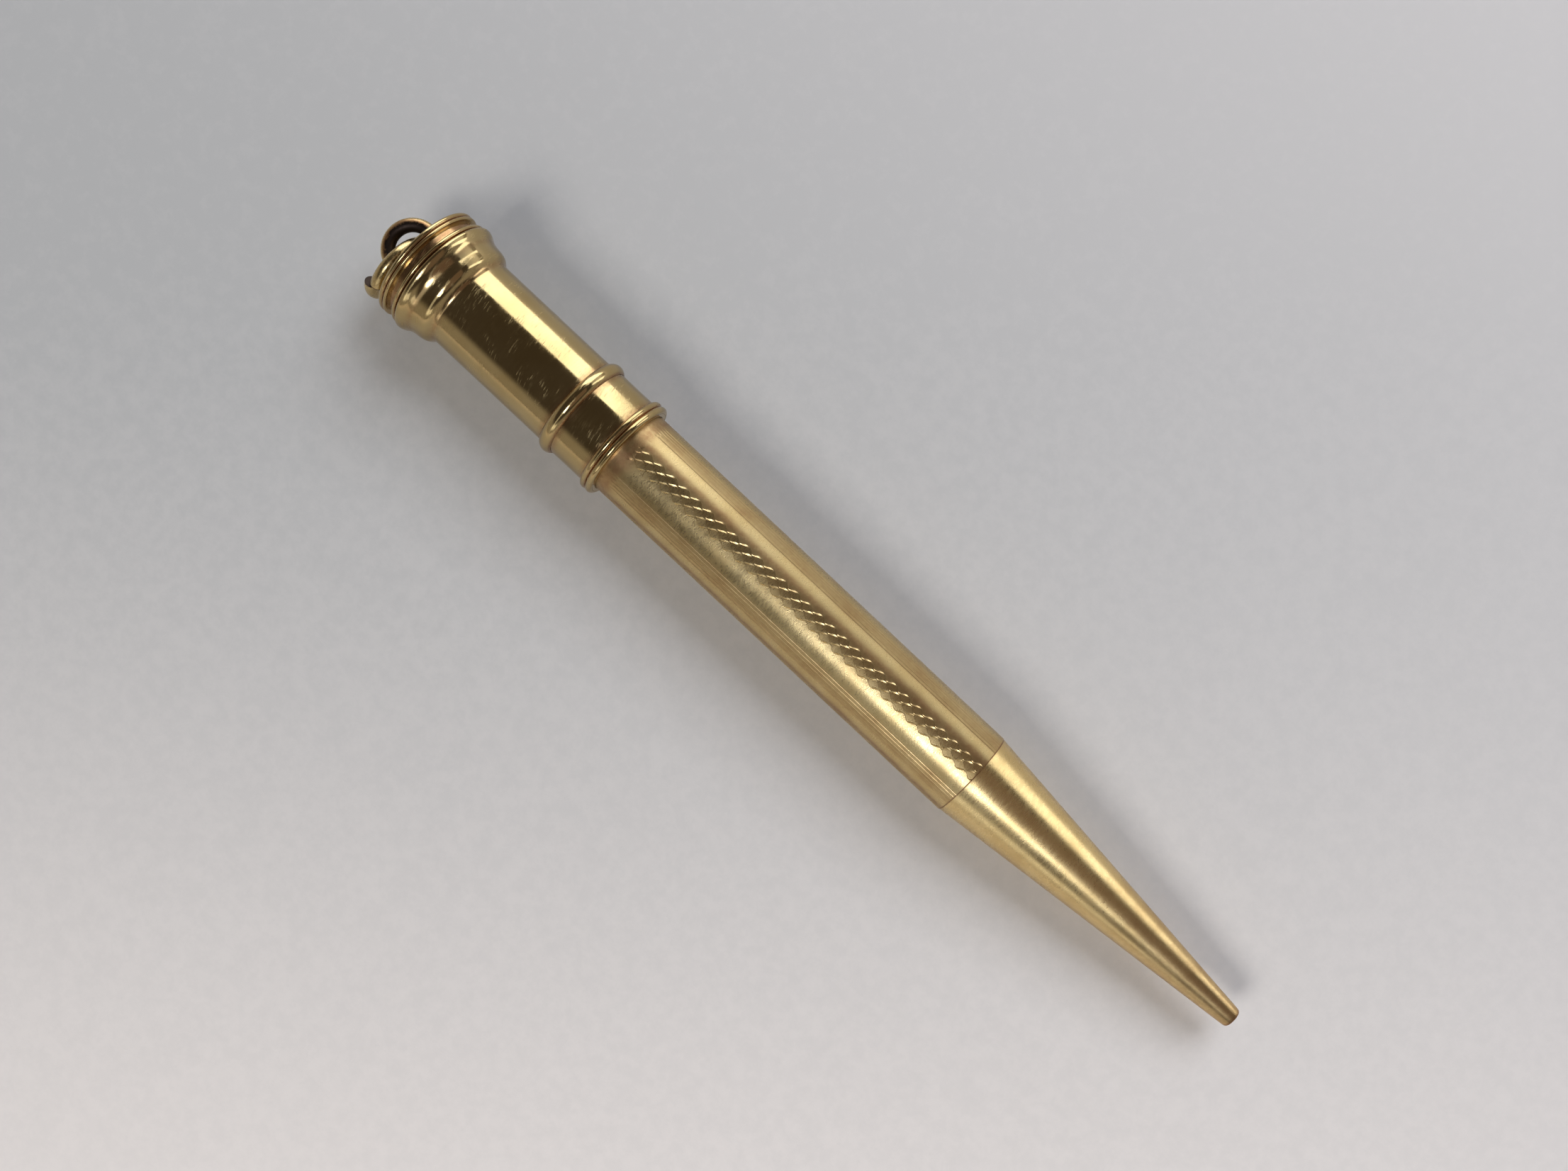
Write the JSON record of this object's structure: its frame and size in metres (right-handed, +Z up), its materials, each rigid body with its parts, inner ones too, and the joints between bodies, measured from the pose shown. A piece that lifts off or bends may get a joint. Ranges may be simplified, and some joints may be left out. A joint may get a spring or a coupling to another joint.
{
  "type": "pendant pencil",
  "caption": "Slim propelling pencil with a tapered nose, engine-turned barrel, pull-off twist cap with a belled end, and a wire bow with a loose ring to hang it by.",
  "frame": {"origin": "middle of the bow's eye, on the pencil's axis", "axes": "+X along the pencil's axis towards the writing end, +Z up as the pencil lies on its side, bow level"},
  "size_m": [0.0978, 0.0112, 0.0112],
  "materials": {
    "gold_satin": "satin rolled gold, worn",
    "gold_engraved": "satin rolled gold, engine turned",
    "gold_polished": "polished rolled gold, finely scratched",
    "gold_wire": "drawn gold-filled wire, tarnished",
    "brass": "turned brass",
    "steel": "drawn steel",
    "graphite": "graphite lead",
    "rubber": "matt eraser rubber"
  },
  "bodies": {
    "barrel": {"nose_cone": "gold_satin", "barrel_tube": "gold_engraved", "nose_bush": "brass", "lead_tube": "brass", "guide_tube": "brass", "rear_bush": "brass"},
    "drive": {"spiral_tube": "brass", "retaining_collar": "steel", "drive_head": "brass", "friction_sleeve": "brass", "magazine_tube": "brass", "spare_leads": "graphite", "eraser_cup": "brass", "eraser": "rubber"},
    "cap": {"cap_tube": "gold_polished", "cap_band": "gold_polished", "lip_bead": "gold_polished", "upper_bead": "gold_polished", "crown": "gold_polished", "bow": "gold_wire"},
    "feed": {"carrier": "steel", "carrier_lug": "steel", "push_rod": "steel", "lead_clutch": "brass", "lead": "graphite"},
    "jump_ring": {"jump_ring": "gold_wire"}
  },
  "joints": [
    {"name": "twist", "type": "hinge", "parent": "barrel", "child": "drive", "pos_m": [0.02, 0, 0], "axis": [1, 0, 0], "range_deg": [0, 1440]},
    {"name": "cap_pull", "type": "slide", "parent": "drive", "child": "cap", "axis": [-1, 0, 0], "range_m": [0, 0.021]},
    {"name": "lead_feed", "type": "slide", "parent": "barrel", "child": "feed", "axis": [1, 0, 0], "range_m": [-0.0002, 0.0162]},
    {"name": "ring_swing", "type": "hinge", "parent": "cap", "child": "jump_ring", "pos_m": [-0.0005, -0.00204, 0], "axis": [1, 0, 0], "range_deg": [-180, 12]}
  ],
  "couplings": [
    {"joint": "lead_feed", "follows": "twist", "m_per_rad": 0.00063662}
  ]
}
